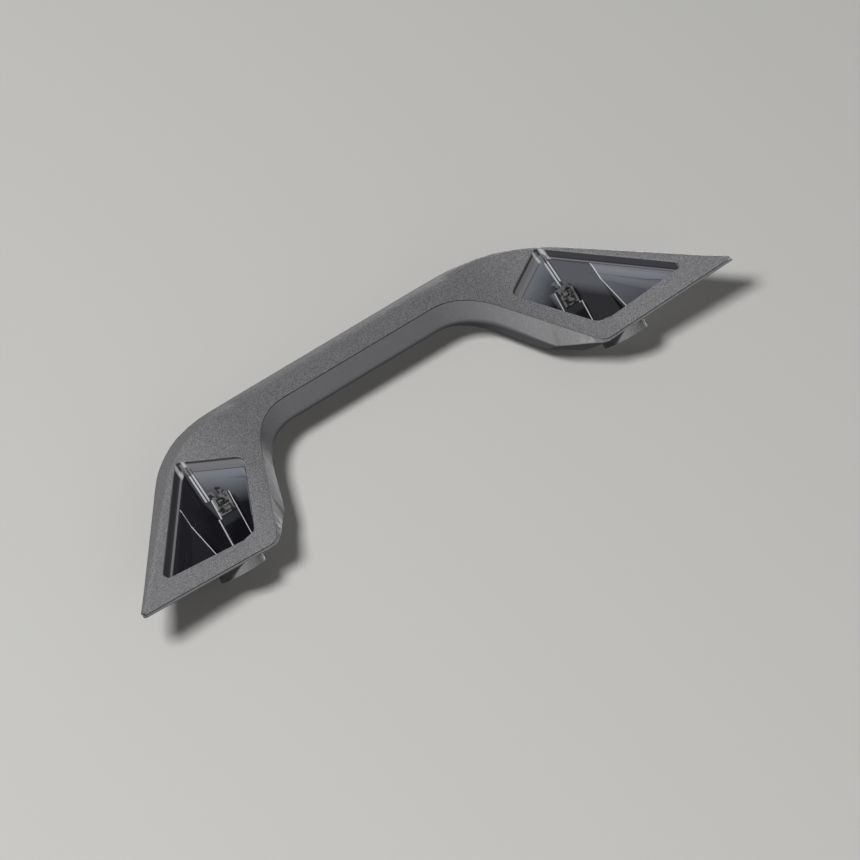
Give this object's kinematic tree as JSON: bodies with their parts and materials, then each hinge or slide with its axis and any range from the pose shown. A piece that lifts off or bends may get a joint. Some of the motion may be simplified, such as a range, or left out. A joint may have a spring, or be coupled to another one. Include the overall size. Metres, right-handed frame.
{
  "type": "a-pillar grab handle",
  "caption": "C-shaped moulded interior grab handle with leaning triangular feet, open screw pockets with retaining clips, and screw bosses beneath.",
  "frame": {"origin": "centre of the bounding box at its base, in the plane of the two boss end faces", "axes": "+X along the handle, +Y towards the rear over which the grip leans, +Z away from the pillar"},
  "size_m": [0.35, 0.063, 0.0642],
  "materials": {
    "grained_plastic": "fine grain, satin",
    "smooth_plastic": "smooth, satin",
    "reinforced_plastic": "glass-filled, matte",
    "spring_steel": "bright rolled strip",
    "zinc_steel": "zinc plated"
  },
  "bodies": {
    "root": {"front_shell": "grained_plastic", "back_shell": "smooth_plastic", "stiffening_bar": "reinforced_plastic", "cover_clip_left": "spring_steel", "cover_clip_right": "spring_steel", "sleeve_left": "zinc_steel", "sleeve_right": "zinc_steel"}
  },
  "joints": []
}
